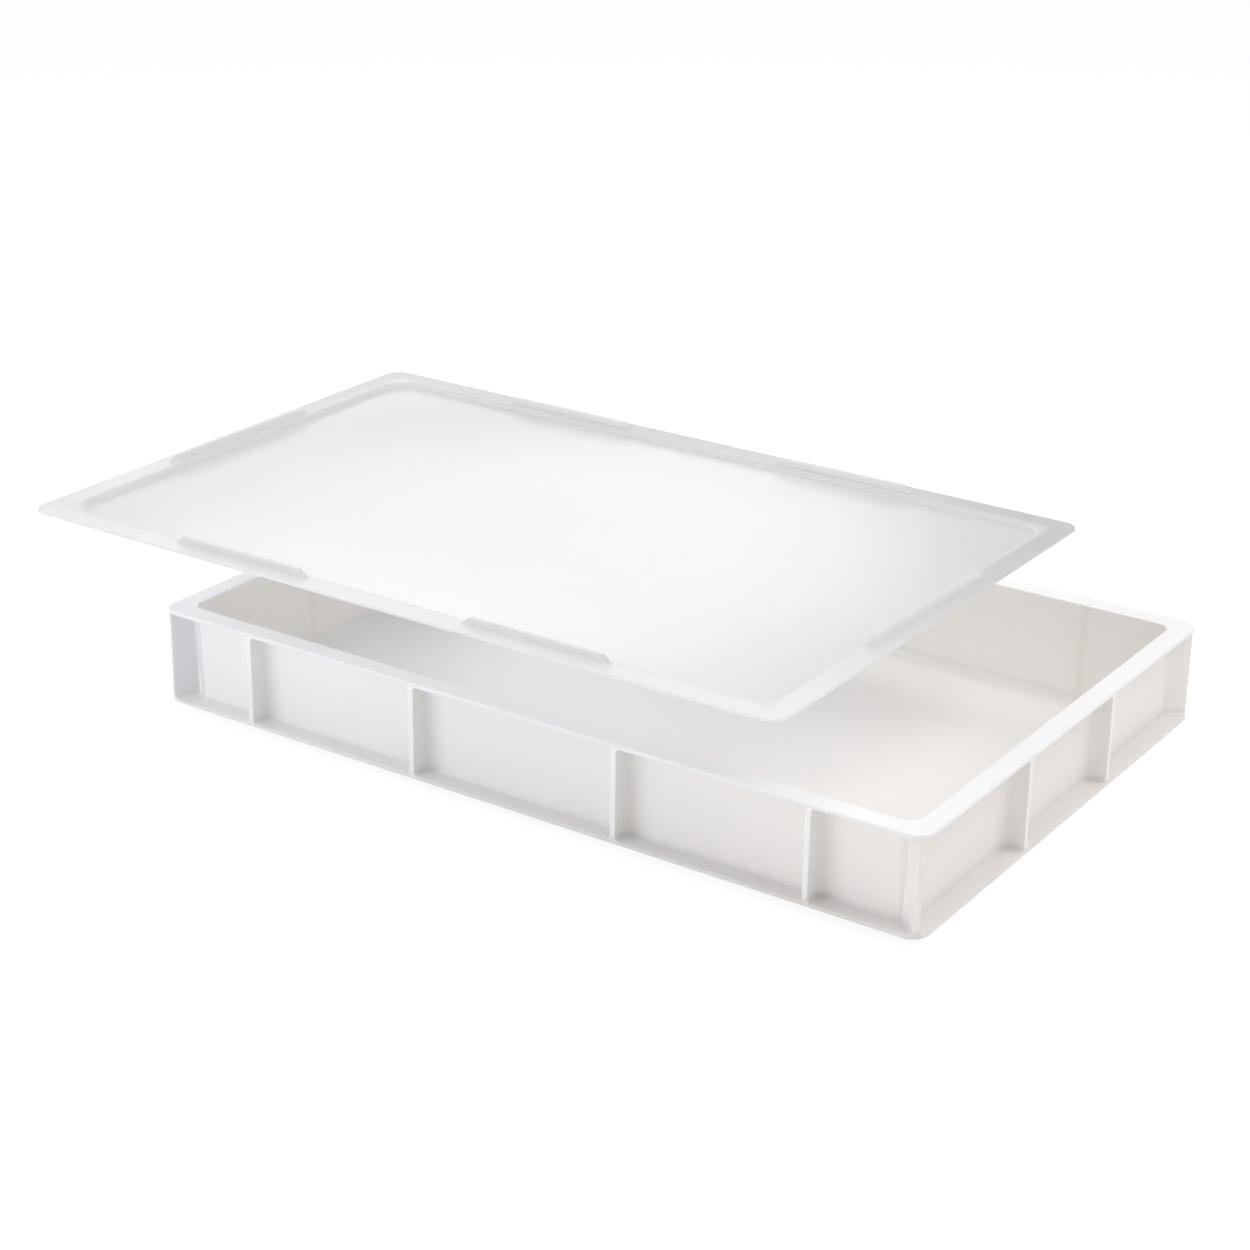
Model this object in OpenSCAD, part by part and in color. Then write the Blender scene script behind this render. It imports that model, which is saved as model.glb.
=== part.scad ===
// Stackable tray for proofing dough, with its lift-off lid.
// Both are one-piece mouldings in natural white polyethylene.
// Origin: middle of the tray's foot, on the surface that it stands on.
// X runs along the tray, Y across it and Z up.

/* [Tray] */
// Length of the tray over its flanges
tray_l = 600; // [460:10:800]
// Width of the tray over its flanges
tray_w = 400; // [320:10:600]
// Height of the tray from its foot to its rim
tray_h = 75; // [55:1:160]
// Corner radius of the flanges and of the lid, in plan
corner_r = 12; // [8:1:24]
// Width of the flat rim around the mouth
rim_w = 15; // [12:0.5:20]
// Thickness of the rim flange
rim_t = 3.2; // [2.4:0.2:5]
// Thickness of the lower flange
base_t = 2.8; // [2:0.2:5]
// Thickness of the walls
wall_t = 2.8; // [2:0.2:4]
// How far each wall leans in, from the rim down to the floor
wall_lean = 2; // [0.5:0.5:4]
// Radius of the mouth's corners, in plan
mouth_r = 9; // [6:1:14]
// Radius of the cove between the walls and the floor
cove_r = 4; // [2:0.5:5]
// Radius on the edges of the flanges and of the mouth
edge_r = 1; // [0.4:0.2:1.2]

/* [Foot] */
// Thickness of the floor
floor_t = 2.6; // [2:0.2:4]
// Depth of the foot below the lower flange
foot_h = 5.5; // [4:0.5:9]
// Gap all round between the foot and the mouth of a tray below
foot_gap = 0.8; // [0.4:0.1:2]

/* [Ribs] */
// Thickness of the upright ribs
rib_t = 4; // [2.5:0.5:6]
// How far the ribs stand back from the flange edges
rib_back = 0.5; // [0.2:0.1:2]
// Distance between the two middle ribs of a long side
long_bay = 161; // [100:1:200]
// Distance from the end of the tray to the last rib of a long side
end_bay = 79; // [50:1:100]
// Distance between the two ribs of a short side
short_bay = 121; // [80:1:160]
// Thickness of the diagonal rib at each corner
corner_rib_t = 3.6; // [2.4:0.2:6]

/* [Lid] */
// Thickness of the lid's sheet
lid_t = 2; // [1.4:0.1:3]
// Depth of the lid's panel below its rim
panel_drop = 4.2; // [3.8:0.1:8]
// Gap all round between the lid's sunk panel and the mouth
panel_gap = 2.5; // [2.3:0.1:4]
// Radius of the panel's corners, in plan
panel_r = 20; // [16:1:30]
// Radius of the rounded edge where the lid's rim turns down
turn_r = 3.5; // [3:0.1:3.8]
// Gap under the lid's rim where the lid is closed
seat_gap = 0.2; // [0.1:0.1:0.5]

/* [Lugs] */
// Gap between the top of a lug and the lower flange of a tray above
lug_top_gap = 0.3; // [0.2:0.1:1]
// Gap between the lugs and the foot of a tray above
lug_gap = 1.1; // [0.5:0.1:2]
// Thickness of a lug
lug_t = 3.7; // [2:0.1:5]
// Length of a lug on a long side, at its root
long_lug_l = 115; // [60:1:130]
// Distance between the middles of the two lugs on a long side
lug_pitch = 238; // [140:2:260]
// Length of a lug on a short side, at its root
short_lug_l = 150; // [80:1:220]
// Length of the slope at each end of a lug
lug_slope = 8; // [4:1:12]

/* [Lifted lid] */
// How far the lid has moved towards -X from its closed place
lid_out_x = 75; // [0:0.5:120]
// How far the lid has moved towards -Y from its closed place
lid_out_y = 45; // [0:0.5:120]
// How far the lid has been lifted from its closed place
lid_lift = 68; // [10:0.5:200]

/* [Hidden] */
arc_steps = 4;
round_fn = 96;
// Length that a cut runs past the face it opens
past = 1;
plastic = [0.93, 0.93, 0.92];
lid_plastic = [0.91, 0.91, 0.93];
// Heights of the tray
floor_z = floor_t;
base_z = foot_h;
rim_z = tray_h - rim_t;
// Inset from the flange edge to the centre of a wall corner
wall_c = rim_w + mouth_r;
foot_in = rim_w + foot_gap;
// Inset to the outside of the sunk panel, and to its corner centre
plug_in = rim_w + panel_gap;
panel_c = plug_in + panel_r;
lug_h = foot_h - lug_top_gap;
lug_in = foot_in - lug_gap;
// Height of the lid's underside where it is closed, and as it stands here
closed_z = tray_h + seat_gap;
lid_z = closed_z + lid_lift;

// Points of an arc, from angle a0 to angle a1
function arc(x, z, r, a0, a1) =
    [for (i = [0:arc_steps]) let (a = a0 + (a1 - a0) * i / arc_steps) [x + r * cos(a), z + r * sin(a)]];

// Outline of a slab across its width, from the edge profile on its right half
function across(profile, half) = concat(
    [for (p = profile) [half + p.x, p.y]],
    [for (i = [len(profile) - 1:-1:0]) [-half - profile[i].x, profile[i].y]]);

// Slab with round plan corners. The profile gives the shape of its edge: x is the
// distance out from the corner's centre, which lies at this inset from the sides
module slab(l, w, inset, profile) {
    half_l = l / 2 - inset;
    half_w = w / 2 - inset;
    rotate([90, 0, 90])
        linear_extrude(2 * half_l, center = true) polygon(across(profile, half_w));
    rotate([90, 0, 0])
        linear_extrude(2 * half_w, center = true) polygon(across(profile, half_l));
    for (sx = [-1, 1], sy = [-1, 1])
        translate([sx * half_l, sy * half_w, 0])
            rotate_extrude($fn = round_fn) polygon(profile);
}

// Edge of a plate between two heights, with both of its edges rounded
function plate_edge(x, z0, z1, r) = concat(
    [[0, z0]], arc(x - r, z0 + r, r, -90, 0), arc(x - r, z1 - r, r, 0, 90), [[0, z1]]);

// Outside of the leaning wall, from the floor up into the rim flange
function wall_edge() = [
    [0, foot_h], [mouth_r + wall_t - wall_lean, foot_h],
    [mouth_r + wall_t, tray_h - rim_t / 2], [0, tray_h - rim_t / 2]];

// Space inside the tray: coved at the floor and flared at the mouth
function cavity_edge() = concat(
    [[0, floor_z]],
    arc(mouth_r - wall_lean - cove_r, floor_z + cove_r, cove_r, -90, 0),
    arc(mouth_r + edge_r, tray_h - edge_r, edge_r, 180, 90),
    [[mouth_r + edge_r, tray_h + past], [0, tray_h + past]]);

// Foot that drops into the mouth of a tray below, and carries the floor
function foot_edge() = concat(
    [[0, 0]], arc(wall_c - foot_in - edge_r, edge_r, edge_r, -90, 0),
    [[wall_c - foot_in, base_z + base_t / 2], [0, base_z + base_t / 2]]);

// Upright rib from the flange edge back into the wall, on the side at -Y
module rib(x, w) {
    translate([x - rib_t / 2, rib_back - w / 2, base_z + base_t / 2])
        cube([rib_t, rim_w - rib_back, rim_z - base_z - base_t / 2 + rim_t / 2]);
}

module long_ribs() {
    for (s = [-1, 1], x = [long_bay / 2, tray_l / 2 - end_bay]) rib(s * x, tray_w);
}

module short_ribs() {
    for (s = [-1, 1]) rib(s * short_bay / 2, tray_l);
}

// Rib that ties the wall's corner to the corner of both flanges
module corner_rib() {
    reach = (wall_c - corner_r) * sqrt(2) + corner_r - rib_back;
    translate([tray_l / 2 - wall_c, tray_w / 2 - wall_c, base_z + base_t / 2])
        rotate(45) translate([0, -corner_rib_t / 2, 0])
            cube([reach, corner_rib_t, rim_z - base_z - base_t / 2 + rim_t / 2]);
}

module tray() {
    color(plastic) difference() {
        union() {
            slab(tray_l, tray_w, corner_r, plate_edge(corner_r, rim_z, tray_h, edge_r));
            slab(tray_l, tray_w, corner_r, plate_edge(corner_r, base_z, base_z + base_t, edge_r));
            slab(tray_l, tray_w, wall_c, wall_edge());
            slab(tray_l, tray_w, wall_c, foot_edge());
            for (a = [0, 180]) rotate(a) long_ribs();
            for (a = [90, 270]) rotate(a) short_ribs();
            for (mx = [0, 1], my = [0, 1]) mirror([mx, 0, 0]) mirror([0, my, 0]) corner_rib();
        }
        slab(tray_l, tray_w, wall_c, cavity_edge());
    }
}

// Underside of the sunk panel: coved under the rim and rounded at the bottom.
// The lid's own zero height is the underside of its rim
function panel_under_edge() = let (cove = turn_r - lid_t, bend = panel_drop - cove) concat(
    [[0, -panel_drop]],
    arc(panel_r - bend, bend - panel_drop, bend, -90, 0),
    arc(panel_r + cove, -cove, cove, 180, 90),
    [[panel_r + cove, lid_t / 2], [0, lid_t / 2]]);

// Recess above the panel: coved at the bottom and turned over into the rim
function panel_top_edge() =
    let (wall = panel_r - lid_t, cove = panel_drop - turn_r, top = lid_t) concat(
    [[0, top - panel_drop]],
    arc(wall - cove, top - panel_drop + cove, cove, -90, 0),
    arc(wall + turn_r, top - turn_r, turn_r, 180, 90),
    [[wall + turn_r, top + past], [0, top + past]]);

// Locating lug that stands on the lid's rim, along the side at -Y
module lug(x, l, w) {
    translate([x, lug_in - w / 2, lid_t]) rotate([90, 0, 0]) linear_extrude(lug_t)
        polygon([[-l / 2, -lid_t / 2], [-l / 2, 0], [lug_slope - l / 2, lug_h],
                 [l / 2 - lug_slope, lug_h], [l / 2, 0], [l / 2, -lid_t / 2]]);
}

module lid() {
    color(lid_plastic) translate([-lid_out_x, -lid_out_y, lid_z]) {
        difference() {
            union() {
                slab(tray_l, tray_w, corner_r, plate_edge(corner_r, 0, lid_t, lid_t * 0.35));
                slab(tray_l, tray_w, panel_c, panel_under_edge());
            }
            slab(tray_l, tray_w, panel_c, panel_top_edge());
        }
        for (a = [0, 180]) rotate(a) for (s = [-1, 1]) lug(s * lug_pitch / 2, long_lug_l, tray_w);
        for (a = [90, 270]) rotate(a) lug(0, short_lug_l, tray_l);
    }
}

tray();
lid();
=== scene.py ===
# Stacking tray for proofing dough, with its lid lifted off and moved towards one corner.
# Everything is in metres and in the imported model's frame: the origin lies under the
# middle of the tray, +X runs along the tray, +Y across it and +Z up.
from contextlib import contextmanager
from math import pi, radians

import bmesh
import bpy
from mathutils import Matrix, Vector


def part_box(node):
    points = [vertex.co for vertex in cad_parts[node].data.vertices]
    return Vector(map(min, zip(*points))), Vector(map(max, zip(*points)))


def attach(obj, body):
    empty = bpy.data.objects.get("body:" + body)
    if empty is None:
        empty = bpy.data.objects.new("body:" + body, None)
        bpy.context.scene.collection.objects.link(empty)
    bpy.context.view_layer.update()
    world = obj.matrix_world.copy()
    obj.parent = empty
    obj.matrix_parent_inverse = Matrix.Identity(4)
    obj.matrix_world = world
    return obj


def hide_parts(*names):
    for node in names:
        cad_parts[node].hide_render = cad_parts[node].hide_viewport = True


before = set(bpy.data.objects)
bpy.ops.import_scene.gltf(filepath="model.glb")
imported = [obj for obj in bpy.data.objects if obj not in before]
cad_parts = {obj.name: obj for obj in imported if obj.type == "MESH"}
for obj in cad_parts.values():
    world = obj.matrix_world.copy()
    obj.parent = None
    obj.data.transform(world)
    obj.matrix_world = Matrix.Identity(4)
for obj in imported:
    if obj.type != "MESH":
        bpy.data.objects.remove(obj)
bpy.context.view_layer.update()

mm = 0.001

# Camera
# It stands to the front right of the tray and looks down on it at a low angle, turned
# by less than a degree about its own axis.
camera_turn = radians(33.884)
camera_height = radians(22.615)
camera_roll = radians(0.85)
camera_place = (920.8 * mm, -1440.2 * mm, 779.4 * mm)
camera_lens = 76.65
sensor_w = 36
camera_data = bpy.data.cameras.new("camera")
camera_data.sensor_width = sensor_w
camera_data.lens = camera_lens
camera = bpy.data.objects.new("camera", camera_data)
camera.location = camera_place
camera.rotation_euler = (
    Matrix.Rotation(camera_turn, 3, "Z")
    @ Matrix.Rotation(pi / 2 - camera_height, 3, "X")
    @ Matrix.Rotation(camera_roll, 3, "Z")
).to_euler()
bpy.context.scene.collection.objects.link(camera)
bpy.context.scene.camera = camera

# Tray
# One injection moulding in natural white polyethylene: a floor, four walls that lean in
# a little, a flat rim, a lower flange and upright ribs that tie the two together. A
# quarter of it is shaped and then mirrored twice.
tray_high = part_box("tray")[1]
half_l = tray_high.x
half_w = tray_high.y
height = tray_high.z
corner_r = 12 * mm
rim_w = 15 * mm
rim_t = 3.2 * mm
flange_t = 2.8 * mm
foot_h = 5.5 * mm
foot_inset = 15.8 * mm
foot_corner = 8.2 * mm
floor_t = 2.6 * mm
wall_t = 2.8 * mm
wall_lean = 2 * mm
mouth_r = 9 * mm
cove_r = 4 * mm
rib_t = 4 * mm
long_ribs = (80.5 * mm, 221 * mm)
short_rib = 60.5 * mm
corner_rib_t = 3.6 * mm
root_r = 7 * mm
corner_root_r = 2 * mm
pocket_r = 2.5 * mm
edge_r = 1 * mm
lip_r = 0.5 * mm
wall_corner = rim_w + mouth_r
pocket_floor = foot_h + flange_t
pocket_roof = height - rim_t
corner_turn = radians(22)
flat_limit = radians(15)
lip_limit = radians(55)
smooth_limit = radians(40)
weld = 0.002 * mm
tiny = 0.02 * mm
past = 8 * mm


def block(name, low, high):
    """A block between two corners, with its place in its mesh"""
    low, high = Vector(low), Vector(high)
    bpy.ops.object.select_all(action="DESELECT")
    bpy.ops.mesh.primitive_cube_add(size=1, location=(low + high) / 2, scale=high - low)
    piece = bpy.context.object
    piece.name = name
    bpy.ops.object.transform_apply(location=True, rotation=True, scale=True)
    return piece


@contextmanager
def shaping(piece):
    """Edit mode on one piece, with nothing else selected"""
    bpy.ops.object.select_all(action="DESELECT")
    piece.select_set(True)
    bpy.context.view_layer.objects.active = piece
    bpy.ops.object.mode_set(mode="EDIT")
    yield
    bpy.ops.object.mode_set(mode="OBJECT")


def pick(kind, wanted):
    """Selects the faces, or the edges that aren't flat, whose corners pass a test"""
    mesh = bmesh.from_edit_mesh(bpy.context.object.data)
    bpy.ops.mesh.select_mode(type=kind)
    bpy.ops.mesh.select_all(action="DESELECT")
    if kind == "FACE":
        parts = mesh.faces
    else:
        parts = [edge for edge in mesh.edges if edge.calc_face_angle(0) > flat_limit]
    for part in parts:
        if wanted([corner.co for corner in part.verts]):
            part.select_set(True)
    mesh.select_flush_mode()
    bmesh.update_edit_mesh(bpy.context.object.data)


def round_edges(wanted, radius, steps):
    """Rounds the edges that pass a test of their two ends"""
    pick("EDGE", wanted)
    bpy.ops.mesh.bevel(offset=radius, segments=steps, affect="EDGES", clamp_overlap=False)


def upright(ends):
    return abs(ends[0].z - ends[1].z) > 0.5 * (ends[0] - ends[1]).length


def at_height(z):
    return lambda ends: all(abs(end.z - z) < tiny for end in ends)


def apply_modifier(piece, kind, **settings):
    bpy.ops.object.select_all(action="DESELECT")
    piece.select_set(True)
    bpy.context.view_layer.objects.active = piece
    modifier = piece.modifiers.new("step", kind)
    for name, value in settings.items():
        setattr(modifier, name, value)
    bpy.ops.object.modifier_apply(modifier=modifier.name)


def combine(piece, tool, operation):
    """Joins a tool to a piece, or cuts it out, and throws the tool away"""
    apply_modifier(piece, "BOOLEAN", operation=operation, object=tool, solver="EXACT")
    bpy.data.objects.remove(tool)


def keep_quarter():
    """Cuts the piece in edit mode down to its quarter at +X and -Y"""
    for direction in ((1, 0, 0), (0, -1, 0)):
        bpy.ops.mesh.select_all(action="SELECT")
        bpy.ops.mesh.bisect(plane_co=(0, 0, 0), plane_no=direction,
                            use_fill=True, clear_inner=True)


def mirror_quarter(piece):
    """Opens a quarter on its two cut planes and mirrors it into the whole"""
    with shaping(piece):
        for axis in (0, 1):
            pick("FACE", lambda corners: all(abs(c[axis]) < tiny for c in corners))
            bpy.ops.mesh.delete(type="FACE")
    apply_modifier(piece, "MIRROR", use_axis=(True, True, False),
                   use_mirror_merge=True, merge_threshold=tiny)


def rounded_block(name, low, high, radius, steps):
    """A block with its four upright edges rounded"""
    piece = block(name, low, high)
    with shaping(piece):
        round_edges(upright, radius, steps)
    return piece


tray = rounded_block("tray_moulding", (-half_l, -half_w, foot_h), (half_l, half_w, height),
                     corner_r, 10)
with shaping(tray):
    round_edges(at_height(height), edge_r, 3)
    round_edges(at_height(foot_h), edge_r, 3)
foot = rounded_block("foot", (foot_inset - half_l, foot_inset - half_w, 0),
                     (half_l - foot_inset, half_w - foot_inset, foot_h + flange_t),
                     foot_corner, 6)
with shaping(foot):
    round_edges(at_height(0), edge_r, 3)
combine(tray, foot, "UNION")
with shaping(tray):
    keep_quarter()

inside = block("inside", (rim_w - half_l, rim_w - half_w, floor_t),
               (half_l - rim_w, half_w - rim_w, height + edge_r))
with shaping(inside):
    pick("FACE", at_height(floor_t))
    bpy.ops.transform.resize(value=(1 - wall_lean / (half_l - rim_w),
                                    1 - wall_lean / (half_w - rim_w), 1))
    round_edges(upright, mouth_r, 8)
    round_edges(at_height(floor_t), cove_r, 5)
combine(tray, inside, "DIFFERENCE")


def web_inset(z):
    """How far a wall's outside lies behind the edge of the flanges at a height"""
    return rim_w - wall_t + wall_lean * (height - rim_t / 2 - z) / (height - rim_t / 2 - foot_h)


def pocket(start, end, side):
    """Cutter for the bay between two ribs, in the frame of the side at -Y"""
    cutter = block("pocket", (start, -side - past, pocket_floor),
                   (end, web_inset(pocket_roof) - side, pocket_roof))
    with shaping(cutter):
        pick("EDGE", lambda ends: all(e.y > -side and e.z < height / 2 for e in ends))
        lean = web_inset(pocket_floor) - web_inset(pocket_roof)
        bpy.ops.transform.translate(value=(0, lean, 0))
    return cutter


def round_pocket(cutter, side, corner):
    """Rounds a cutter's roots at the ribs, and its edges against both flanges"""
    clear = -side - 0.8 * past

    def outside(point):
        if point.x < corner.x - tiny:
            return point.y < clear
        return (point.xy - corner.xy).length > corner.y - clear

    def root(ends):
        return upright(ends) and not any(outside(end) for end in ends)

    with shaping(cutter):
        round_edges(lambda ends: root(ends) and ends[0].x < corner.x + tiny, root_r, 4)
        round_edges(lambda ends: root(ends) and ends[0].x > corner.x + tiny, corner_root_r, 3)
        round_edges(lambda ends: (at_height(pocket_floor)(ends) or at_height(pocket_roof)(ends))
                    and not all(outside(end) for end in ends), pocket_r, 3)


def straight_pocket(start, end, side):
    cutter = pocket(start, end, side)
    round_pocket(cutter, side, Vector((side * 2, 0, 0)))
    return cutter


def end_pocket(start, length, side):
    """Cutter for the bay from the last rib round to the corner's diagonal rib"""
    corner = Vector((length - wall_corner, wall_corner - side, 0))
    cutter = pocket(start, corner.x, side)
    with shaping(cutter):
        pick("FACE", lambda corners: all(c.x > corner.x - tiny for c in corners))
        bpy.ops.mesh.spin(steps=3, angle=corner_turn, center=corner, axis=(0, 0, -1))
        bpy.ops.mesh.spin(steps=1, angle=corner_turn, center=corner, axis=(0, 0, -1))
        bpy.ops.mesh.select_all(action="SELECT")
        bpy.ops.mesh.remove_doubles(threshold=tiny)
        rib_face = corner - Vector((1, 1, 0)).normalized() * corner_rib_t / 2
        bpy.ops.mesh.bisect(plane_co=rib_face, plane_no=(1, 1, 0), use_fill=True,
                            clear_outer=True)
        bpy.ops.mesh.select_all(action="SELECT")
        bpy.ops.mesh.normals_make_consistent(inside=False)
    round_pocket(cutter, side, corner)
    return cutter


def to_short_side(cutter):
    """Turns a cutter made for the side at -Y over the corner to the side at +X"""
    cutter.data.transform(Matrix(((0, -1, 0, 0), (-1, 0, 0, 0), (0, 0, 1, 0), (0, 0, 0, 1))))
    with shaping(cutter):
        bpy.ops.mesh.select_all(action="SELECT")
        bpy.ops.mesh.flip_normals()
    return cutter


half_rib = rib_t / 2
bays = [
    straight_pocket(-past, long_ribs[0] - half_rib, half_w),
    straight_pocket(long_ribs[0] + half_rib, long_ribs[1] - half_rib, half_w),
    end_pocket(long_ribs[1] + half_rib, half_l, half_w),
    to_short_side(straight_pocket(-past, short_rib - half_rib, half_l)),
    to_short_side(end_pocket(short_rib + half_rib, half_w, half_l)),
]
for bay in bays:
    combine(tray, bay, "DIFFERENCE")
mirror_quarter(tray)

with shaping(tray):
    round_edges(lambda ends: at_height(height)(ends)
                and all(abs(e.x) < half_l - rim_w + tiny and abs(e.y) < half_w - rim_w + tiny
                        for e in ends), edge_r, 3)
    bpy.ops.mesh.select_mode(type="EDGE")
    bpy.ops.mesh.select_all(action="DESELECT")
    bpy.ops.mesh.edges_select_sharp(sharpness=lip_limit)
    bpy.ops.mesh.bevel(offset=lip_r, segments=2, affect="EDGES", clamp_overlap=False)


def finish_shading(piece):
    """Smooth shading that keeps flat faces flat"""
    with shaping(piece):
        bpy.ops.mesh.select_all(action="SELECT")
        bpy.ops.mesh.remove_doubles(threshold=weld)
    bpy.ops.object.shade_smooth_by_angle(angle=smooth_limit)
    apply_modifier(piece, "WEIGHTED_NORMAL", keep_sharp=True, weight=100)


finish_shading(tray)


class Channel:
    """An output of a node. Arithmetic on it adds Math nodes"""

    def __init__(self, tree, socket=None):
        self.tree = tree
        self.socket = socket

    def add(self, kind, settings, inputs, out=0):
        """Adds a node: its settings first, then a value or a link for each input"""
        node = self.tree.nodes.new(kind)
        for name, value in settings.items():
            setattr(node, name, value)
        for key, value in inputs.items():
            if isinstance(value, Channel):
                self.tree.links.new(value.socket, node.inputs[key])
            else:
                node.inputs[key].default_value = value
        return Channel(self.tree, node.outputs[out])

    def math(self, operation, first, second=0.0):
        return self.add("ShaderNodeMath", {"operation": operation}, {0: first, 1: second})

    def __add__(self, other):
        return self.math("ADD", self, other)

    __radd__ = __add__

    def __sub__(self, other):
        return self.math("SUBTRACT", self, other)

    def __rsub__(self, other):
        return self.math("SUBTRACT", other, self)

    def __mul__(self, other):
        return self.math("MULTIPLY", self, other)

    __rmul__ = __mul__

    def __abs__(self):
        return self.math("ABSOLUTE", self)

    def rise(self, start, end):
        """0 below start, 1 above end and smooth between them"""
        return self.add("ShaderNodeMapRange", {"interpolation_type": "SMOOTHSTEP"},
                        {"Value": self, "From Min": start, "From Max": end})

    def near(self, middle, inner, outer):
        """1 within inner of the middle and 0 beyond outer"""
        return 1 - abs(self - middle).rise(inner, outer)

    def noise(self, scale, detail=2.0, roughness=0.5):
        """Noise on these coordinates"""
        return self.add("ShaderNodeTexNoise", {},
                        {"Vector": self, "Scale": scale, "Detail": detail,
                         "Roughness": roughness})

    def blend(self, first, second):
        """Mixes two colours by this channel"""
        return self.add("ShaderNodeMix", {"data_type": "RGBA"},
                        {"Factor": self, 6: first, 7: second}, 2)


def start_material(piece, name, through, tint, constants):
    """Gives a piece a new plastic that lets a share of the light through, in one tint.
    Returns its shader and the piece's own coordinates"""
    material = bpy.data.materials.new(name)
    material.use_nodes = True
    tree = material.node_tree
    shader = tree.nodes["Principled BSDF"]
    for socket, value in constants.items():
        shader.inputs[socket].default_value = value
    face = Channel(tree, shader.outputs["BSDF"])
    body = face.add("ShaderNodeBsdfTranslucent", {}, {"Color": tint})
    both = face.add("ShaderNodeMixShader", {}, {0: through, 1: face, 2: body})
    tree.links.new(both.socket, tree.nodes["Material Output"].inputs["Surface"])
    piece.data.materials.clear()
    piece.data.materials.append(material)
    return shader, Channel(tree).add("ShaderNodeTexCoord", {}, {}, "Object")


def feed(shader, channels):
    for socket, channel in channels.items():
        shader.id_data.links.new(channel.socket, shader.inputs[socket])


# Besides the cloudy tone of the plastic, the tints are painted light and shade as seen from
# the camera's side: painted shade in the left corners and on the lower ledge, a warmer, darker
# right end, lighter painted bands beside the ribs, a greyer, cooler rim top, lighter, warmer
# inner walls, and the ribs' painted shadows inside.
tray_through = 0.1
tray_through_tint = (0.96, 0.95, 0.93, 1)
scatter = (4 * mm, 3.4 * mm, 3 * mm)
moulded_white = (0.93, 0.93, 0.925, 1)
pale_white = (0.95, 0.95, 0.945, 1)
warm_painted_shade = (0.91, 0.88, 0.86, 1)
rib_side_painted_light = (0.985, 0.97, 0.95, 1)
rim_top_painted_shade = (0.90, 0.905, 0.92, 1)
inner_wall_painted_light = (1, 0.97, 0.93, 1)
corner_painted_shade = (0.78, 0.785, 0.82, 1)
ledge_painted_shade = (0.77, 0.755, 0.745, 1)
rib_shadow = (0.86, 0.82, 0.76, 1)
fade = 1 * mm
lip_fade = (0.1 * mm, 0.4 * mm)
rib_band = (1 * mm, 5 * mm)
wall_foot = 8 * mm
ledge_h = 4 * mm
shadow_inset = (20 * mm, 18 * mm)
corner_rib_back = (9 * mm, 8.5 * mm)
pocket_half_h = (30 * mm, 33 * mm)
corner_share = 0.85
shadow_share = 0.4
ledge_share_left, ledge_share_rise = 0.2, 0.5
cloud_scale, cloud_detail = 9, 3.0
cloud_edges = (0.35, 0.65)
tray_grain, tray_waves = 1400, 22

shader, place = start_material(tray, "natural_polyethylene", tray_through, tray_through_tint, {
    "IOR": 1.5, "Subsurface Weight": 0.25, "Subsurface Scale": 1.0, "Subsurface Radius": scatter})
x, y, z = (place.add("ShaderNodeSeparateXYZ", {}, {"Vector": place}, axis) for axis in "XYZ")
along, across = abs(x), abs(y)
mouth_x, mouth_y = half_l - rim_w, half_w - rim_w
in_mouth = ((1 - along.rise(mouth_x + lip_fade[0], mouth_x + lip_fade[1]))
            * (1 - across.rise(mouth_y + lip_fade[0], mouth_y + lip_fade[1])))
on_wall = in_mouth * z.rise(floor_t + fade, floor_t + wall_foot)
on_rim = z.rise(pocket_roof, pocket_roof + fade / 2)
on_ledge = (1 - in_mouth) * (1 - z.rise(pocket_floor + fade, pocket_floor + ledge_h))
long_bands = along.near(long_ribs[0], *rib_band) + along.near(long_ribs[1], *rib_band)
short_bands = across.near(short_rib, *rib_band)
rib_shade = on_wall * (
    long_bands * across.rise(half_w - shadow_inset[0], half_w - shadow_inset[1])
    + short_bands * along.rise(half_l - shadow_inset[0], half_l - shadow_inset[1]))
beside_rib = (long_bands * across.rise(mouth_y, mouth_y + fade)
              + short_bands * along.rise(mouth_x, mouth_x + fade))
behind_edge = 1 - (along + across).rise(half_l + half_w - corner_rib_back[0],
                                        half_l + half_w - corner_rib_back[1])
in_corner = (along.rise(half_l - wall_corner, half_l - wall_corner + fade)
             * across.rise(half_w - wall_corner, half_w - wall_corner + fade)
             * (1 - in_mouth)
             * z.near((pocket_floor + pocket_roof) / 2, *pocket_half_h)
             * (1 - x.rise(-half_l, 0))
             * behind_edge)
to_right = x.rise(-half_l, half_l)
clouds = place.noise(cloud_scale, cloud_detail).rise(*cloud_edges)
colour = clouds.blend(moulded_white, pale_white)
# Painted shade and warm light: the right end is warmer and darker.
colour = to_right.blend(colour, warm_painted_shade)
# Painted light: lighter bands beside the ribs.
colour = beside_rib.blend(colour, rib_side_painted_light)
# Painted shade: a greyer, cooler rim top.
colour = on_rim.blend(colour, rim_top_painted_shade)
# Painted light: lighter, warmer inner walls.
colour = on_wall.blend(colour, inner_wall_painted_light)
# Painted shade in the left corners.
colour = (in_corner * corner_share).blend(colour, corner_painted_shade)
# Painted shade on the lower ledge, deeper towards the right.
ledge_share = ledge_share_left + ledge_share_rise * to_right
colour = (on_ledge * ledge_share).blend(colour, ledge_painted_shade)
colour = (rib_shade * shadow_share).blend(colour, rib_shadow)
grain = place.noise(tray_grain)
waves = place.noise(tray_waves)
bump = place.add("ShaderNodeBump", {}, {"Height": waves + 0.04 * grain,
                                       "Distance": 0.4 * mm, "Strength": 0.35})
feed(shader, {"Base Color": colour, "Roughness": 0.36 + 0.1 * waves + 0.06 * grain,
              "Normal": bump})
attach(tray, "tray_body")
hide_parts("tray")

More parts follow.
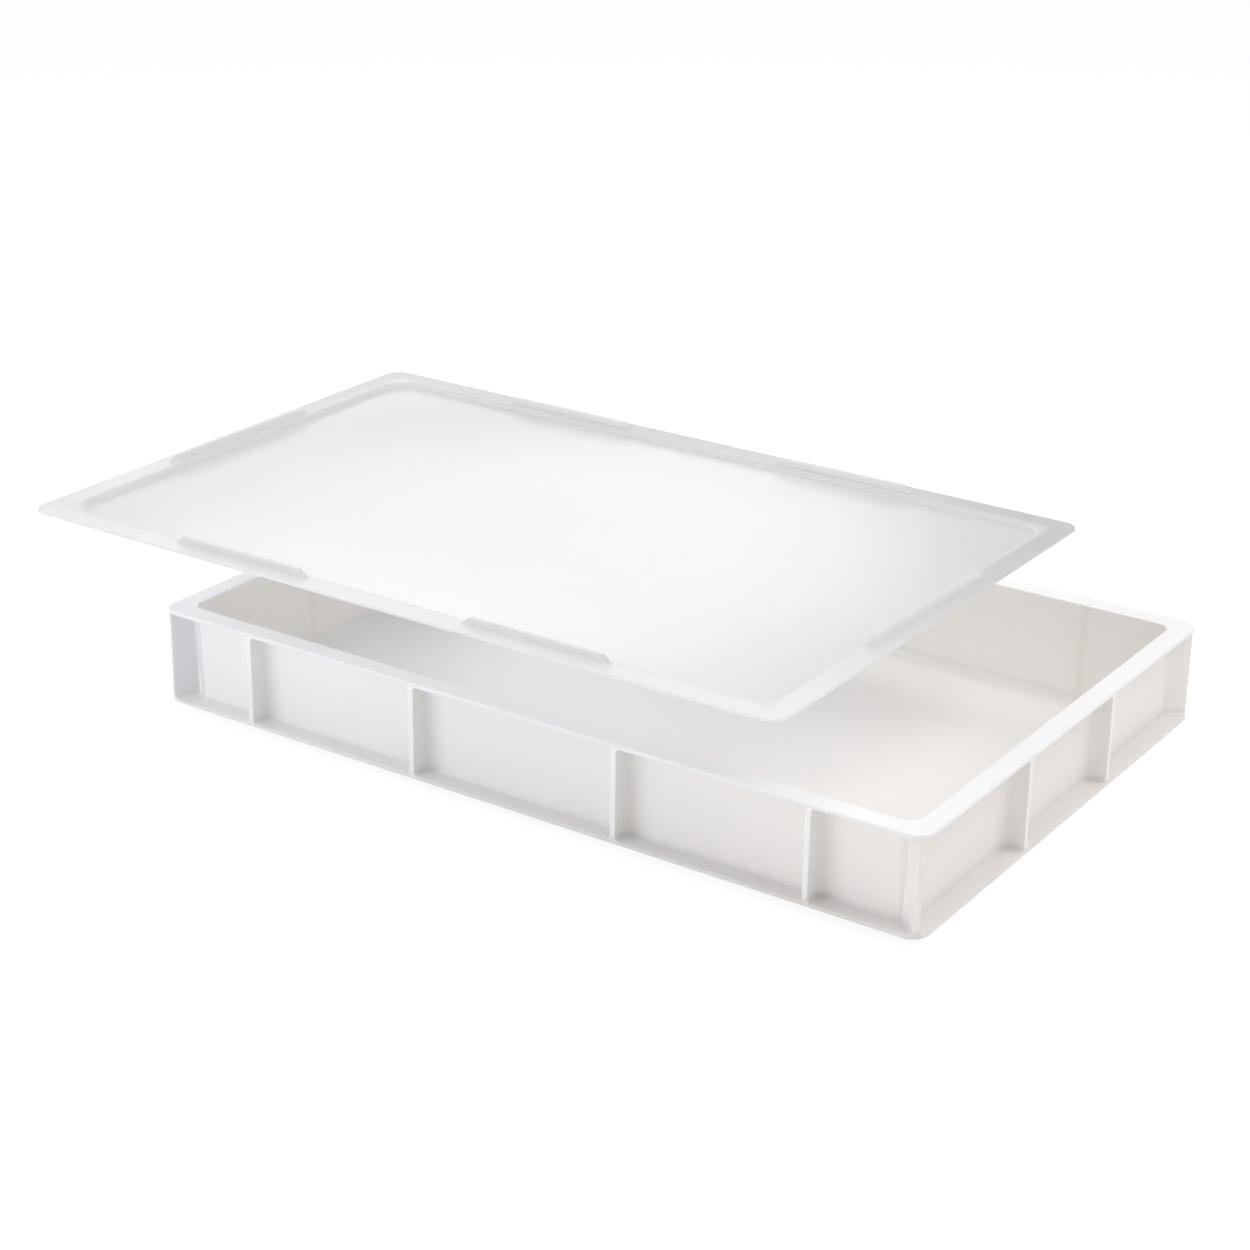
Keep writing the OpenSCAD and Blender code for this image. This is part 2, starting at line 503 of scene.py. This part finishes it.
# Lid
# One thin moulding in the same plastic with a smoother face: a flat rim that turns down
# to a sunken panel, and six low lugs on the rim. It is shaped round the origin, cut down
# to a quarter and mirrored, and then moved to its place above the tray.
lid_low, lid_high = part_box("lid")
lid_middle = (lid_low + lid_high) / 2
lid_t = 2 * mm
panel_drop = 4.2 * mm
plug_inset = 17.5 * mm
panel_r = 20 * mm
turn_r = 3.3 * mm
under_r = 1.5 * mm
recess_inset = plug_inset + lid_t
lug_t = 3.7 * mm
lug_inset = 11 * mm
lug_h = lid_high.z - lid_low.z - panel_drop - lid_t
lug_slope = 8 * mm
long_lug = (61.5 * mm, 176.5 * mm)
short_lug = 75 * mm
lid_edge_r = 0.7 * mm
lug_edge_r = 0.6 * mm

lid = rounded_block("lid_moulding", (-half_l, -half_w, 0), (half_l, half_w, lid_t), corner_r, 10)
with shaping(lid):
    round_edges(at_height(lid_t), lid_edge_r, 3)
    round_edges(at_height(0), lid_edge_r, 3)
plug = rounded_block("plug", (plug_inset - half_l, plug_inset - half_w, -panel_drop),
                     (half_l - plug_inset, half_w - plug_inset, lid_t / 2), panel_r, 10)
with shaping(plug):
    round_edges(at_height(-panel_drop), panel_drop - under_r, 4)
combine(lid, plug, "UNION")
recess = rounded_block("recess", (recess_inset - half_l, recess_inset - half_w,
                                  lid_t - panel_drop),
                       (half_l - recess_inset, half_w - recess_inset, lid_t + past),
                       panel_r - lid_t, 10)
with shaping(recess):
    round_edges(at_height(lid_t - panel_drop), lid_edge_r, 3)
combine(lid, recess, "DIFFERENCE")
with shaping(lid):
    round_edges(lambda ends: at_height(0)(ends) and all(
        abs(e.x) < half_l - plug_inset + tiny and abs(e.y) < half_w - plug_inset + tiny
        for e in ends), under_r, 4)
    round_edges(lambda ends: at_height(lid_t)(ends) and all(
        abs(e.x) < half_l - recess_inset + tiny and abs(e.y) < half_w - recess_inset + tiny
        for e in ends), turn_r, 6)


def lug(low, high, along_x):
    """A low bar on the rim with sloping ends and soft edges"""
    piece = block("lug", low, high)
    length = (high[0] - low[0]) if along_x else (high[1] - low[1])
    squeeze = 1 - 2 * lug_slope / length
    with shaping(piece):
        pick("FACE", at_height(high[2]))
        bpy.ops.transform.resize(value=(squeeze, 1, 1) if along_x else (1, squeeze, 1))
        round_edges(lambda ends: max(e.z for e in ends) > lid_t + tiny, lug_edge_r, 2)
    return piece


combine(lid, lug((long_lug[0], lug_inset - half_w, lid_t / 2),
                 (long_lug[1], lug_inset + lug_t - half_w, lid_t + lug_h), True), "UNION")
combine(lid, lug((half_l - lug_inset - lug_t, -short_lug, lid_t / 2),
                 (half_l - lug_inset, short_lug, lid_t + lug_h), False), "UNION")
with shaping(lid):
    keep_quarter()
mirror_quarter(lid)
finish_shading(lid)
lid.data.transform(Matrix.Translation((lid_middle.x, lid_middle.y, lid_low.z + panel_drop)))

# The tints are painted light and shade as seen from the camera's side: a painted glow in the
# middle of the panel that fades to painted shade at its edges, and painted shade on the rim,
# step and lugs.
lid_through = 0.7
lid_through_tint = (0.965, 0.965, 0.97, 1)
panel_painted_glow = (0.985, 0.985, 0.985, 1)
panel_painted_shade = (0.64, 0.64, 0.66, 1)
lid_rim_near_shade = (0.77, 0.77, 0.79, 1)
lid_rim_far_shade = (0.40, 0.405, 0.44, 1)
step_painted_shade = (0.64, 0.64, 0.65, 1)
lug_near_shade = (0.60, 0.60, 0.61, 1)
lug_far_shade = (0.80, 0.80, 0.81, 1)
bright_x, bright_y = 10 * mm, -35 * mm
bright_reach_x, bright_reach_y = 280 * mm, 300 * mm
bright_edges = (0.1, 1.1)
lid_grain, lid_waves = 900, 9

shader, place = start_material(lid, "smooth_polyethylene", lid_through, lid_through_tint, {
    "IOR": 1.5, "Coat Weight": 0.6, "Coat Roughness": 0.3, "Coat IOR": 1.5})
x, y, z = (place.add("ShaderNodeSeparateXYZ", {}, {"Vector": place}, axis) for axis in "XYZ")
lid_x, lid_y = x - lid_middle.x, y - lid_middle.y
along, across = abs(lid_x), abs(lid_y)
rim_top = lid_low.z + panel_drop + lid_t
from_edge = place.math("MINIMUM", half_l - along, half_w - across)
step_start = recess_inset - turn_r
on_lid_rim = 1 - from_edge.rise(step_start, step_start + fade / 2)
on_step = from_edge.near(recess_inset - turn_r / 2, turn_r / 2, turn_r)
on_lug = z.rise(rim_top + lip_fade[0], rim_top + fade / 2)
far_side = lid_y.rise(-half_w, half_w)
spot_x, spot_y = lid_x - bright_x, lid_y - bright_y
away = (spot_x * spot_x * (1 / bright_reach_x) ** 2
        + spot_y * spot_y * (1 / bright_reach_y) ** 2)
# Painted glow in the middle of the panel, fading to painted shade at its edges.
colour = away.rise(*bright_edges).blend(panel_painted_glow, panel_painted_shade)
# Painted shade on the rim, darker towards the far side.
colour = on_lid_rim.blend(colour, far_side.blend(lid_rim_near_shade, lid_rim_far_shade))
# Painted shade on the step.
colour = on_step.blend(colour, step_painted_shade)
# Painted shade on the lugs, darker on the near side.
colour = on_lug.blend(colour, far_side.blend(lug_near_shade, lug_far_shade))
grain = place.noise(lid_grain)
waves = place.noise(lid_waves)
bump = place.add("ShaderNodeBump", {}, {"Height": waves + 0.01 * grain,
                                       "Distance": 0.8 * mm, "Strength": 0.4})
feed(shader, {"Base Color": colour, "Roughness": 0.25 + 0.08 * waves + 0.04 * grain,
              "Normal": bump})
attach(lid, "lid_body")
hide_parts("lid")

# Table and light
# A white table that runs off white in every direction, in an even white room. Four soft
# lamps light it: a cool one at the front left, a warm one at the right, and weaker ones
# behind and above.
table_size = 12
table_drop = 0.1 * mm
board_white = (0.9, 0.9, 0.9, 1)
pure_white = (1, 1, 1, 1)
glow = 1.1
glow_share = 0.8
room_light = 0.5
cool = (0.94, 0.96, 1)
neutral = (1, 1, 1)
warm = (1, 0.975, 0.95)

bpy.ops.object.select_all(action="DESELECT")
bpy.ops.mesh.primitive_plane_add(size=table_size, location=(0, 0, -table_drop))
table = bpy.context.object
table.name = "table"
table_material = bpy.data.materials.new("white_table")
table_material.use_nodes = True
tree = table_material.node_tree
tree.nodes.clear()
seen = Channel(tree).add("ShaderNodeLightPath", {}, {}, "Is Camera Ray")
board = seen.add("ShaderNodeBsdfDiffuse", {}, {"Color": board_white})
glowing = seen.add("ShaderNodeEmission", {}, {"Color": pure_white, "Strength": glow})
mixed = seen.add("ShaderNodeMixShader", {}, {0: seen * glow_share, 1: board, 2: glowing})
surface = tree.nodes.new("ShaderNodeOutputMaterial")
tree.links.new(mixed.socket, surface.inputs["Surface"])
table.data.materials.append(table_material)

world = bpy.data.worlds.new("room")
bpy.context.scene.world = world
world.use_nodes = True
tree = world.node_tree
room = tree.nodes["Background"]
room.inputs["Color"].default_value = pure_white
room.inputs["Strength"].default_value = room_light
lit = Channel(tree, room.outputs["Background"])
backdrop = lit.add("ShaderNodeBackground", {}, {"Color": pure_white, "Strength": 1})
seen = lit.add("ShaderNodeLightPath", {}, {}, "Is Camera Ray")
around = lit.add("ShaderNodeMixShader", {}, {0: seen, 1: lit, 2: backdrop})
tree.links.new(around.socket, tree.nodes["World Output"].inputs["Surface"])


def softbox(name, place, size, power, tint):
    """A broad lamp that faces the tray"""
    data = bpy.data.lights.new(name, "AREA")
    data.shape = "RECTANGLE"
    data.size, data.size_y = size
    data.energy = power
    data.color = tint
    lamp = bpy.data.objects.new(name, data)
    lamp.location = place
    lamp.rotation_euler = Vector(place).to_track_quat("Z", "Y").to_euler()
    bpy.context.scene.collection.objects.link(lamp)


softbox("softbox_left", (-1.1, -1.8, 0.85), (1.6, 1.0), 17, cool)
softbox("softbox_right", (1.4, 0.4, 1.8), (1.4, 1.4), 21, warm)
softbox("softbox_back", (-1.15, 1.37, 0.81), (1.2, 0.7), 7, neutral)
softbox("softbox_top", (0, 0, 2.4), (1.6, 1.6), 14, neutral)

bpy.context.scene.view_settings.view_transform = "Standard"
